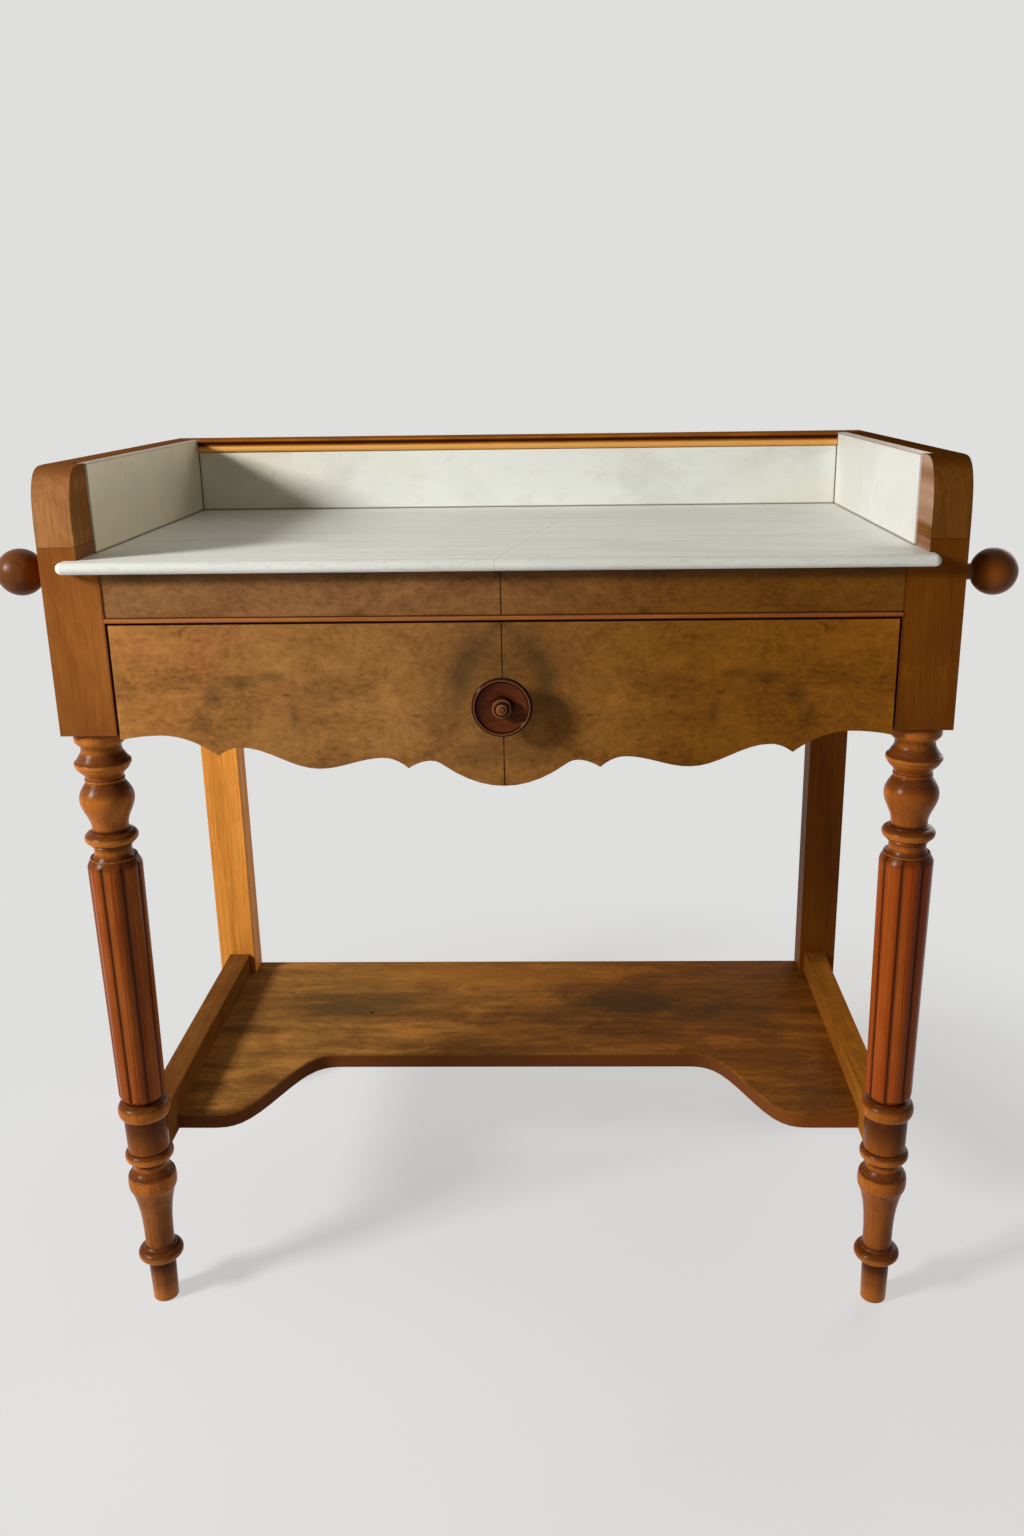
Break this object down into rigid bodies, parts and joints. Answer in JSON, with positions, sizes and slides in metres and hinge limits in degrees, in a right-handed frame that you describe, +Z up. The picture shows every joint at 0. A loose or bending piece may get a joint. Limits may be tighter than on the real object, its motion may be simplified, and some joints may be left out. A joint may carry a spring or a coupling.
{
  "type": "washstand with marble top",
  "caption": "Wooden washstand with a marble top and marble splash slips, a scalloped drawer, turned and reeded front legs, a shaped shelf and pull-out towel rails.",
  "frame": {"origin": "on the floor, in the middle of the box around the whole object", "axes": "+Z up, +X to the viewer's right along the width, the drawer front faces -Y"},
  "size_m": [0.953, 0.494, 0.884],
  "materials": {
    "leg_wood_left": "waxed orange-brown, darker in the turned quirks",
    "leg_wood_right": "waxed, orange-red, darker in the turned quirks",
    "rear_leg_wood": "plain straight-grained wood, satin",
    "case_wood": "honey-brown straight-grained wood, satin",
    "stretcher_wood": "straight-grained wood, satin",
    "cap_wood": "orange-brown wood, waxed",
    "frieze_veneer": "figured veneer, matched about the middle seam, satin",
    "drawer_veneer": "mottled figured veneer, matched about the middle seam, satin",
    "bead_wood": "waxed reddish wood",
    "top_marble": "honed white marble with faint grey streaks",
    "splash_marble": "honed warm white marble, faintly clouded",
    "shelf_wood": "brown wood with dark clouds, worn satin",
    "knob_wood": "dark red-brown turned wood, polished",
    "ball_wood": "dark brown turned wood, satin",
    "rod_wood": "turned hardwood, waxed",
    "pine": "plain unfinished softwood of the inside and back"
  },
  "bodies": {
    "carcass": {"front_leg_left": "leg_wood_left", "front_leg_right": "leg_wood_right", "rear_leg_left": "rear_leg_wood", "rear_leg_right": "rear_leg_wood", "side_apron_left": "case_wood", "side_apron_right": "case_wood", "back_apron": "pine", "frieze_rail": "case_wood", "frieze_veneer_left": "frieze_veneer", "frieze_veneer_right": "frieze_veneer", "frieze_bead": "bead_wood", "drawer_runner_left": "pine", "drawer_runner_right": "pine", "drawer_guide_left": "pine", "drawer_guide_right": "pine", "drawer_kicker_left": "pine", "drawer_kicker_right": "pine", "drawer_stops": "pine", "slab_ledger_left": "pine", "slab_ledger_right": "pine", "slab_ledger_back": "pine", "rod_guide_left": "pine", "rod_guide_right": "pine", "marble_top": "top_marble", "marble_splash_back": "splash_marble", "marble_splash_left": "splash_marble", "marble_splash_right": "splash_marble", "gallery_side_left": "case_wood", "gallery_side_right": "case_wood", "gallery_panel": "pine", "gallery_cap": "cap_wood", "gallery_dowels": "pine", "stretcher_left": "stretcher_wood", "stretcher_right": "stretcher_wood", "shelf": "shelf_wood"},
    "drawer": {"drawer_front": "case_wood", "drawer_veneer_left": "drawer_veneer", "drawer_veneer_right": "drawer_veneer", "drawer_side_left": "pine", "drawer_side_right": "pine", "drawer_back": "pine", "drawer_bottom": "pine", "drawer_knob": "knob_wood"},
    "towel_rail_left": {"towel_rod_left": "rod_wood", "towel_ball_left": "ball_wood", "towel_pin_left": "pine"},
    "towel_rail_right": {"towel_rod_right": "rod_wood", "towel_ball_right": "ball_wood", "towel_pin_right": "pine"}
  },
  "joints": [
    {"name": "drawer_slide", "type": "slide", "parent": "carcass", "child": "drawer", "axis": [0, -1, 0], "range_m": [0, 0.3]},
    {"name": "towel_rail_left_slide", "type": "slide", "parent": "carcass", "child": "towel_rail_left", "axis": [-1, 0, 0], "range_m": [0, 0.245]},
    {"name": "towel_rail_right_slide", "type": "slide", "parent": "carcass", "child": "towel_rail_right", "axis": [1, 0, 0], "range_m": [0, 0.245]}
  ]
}
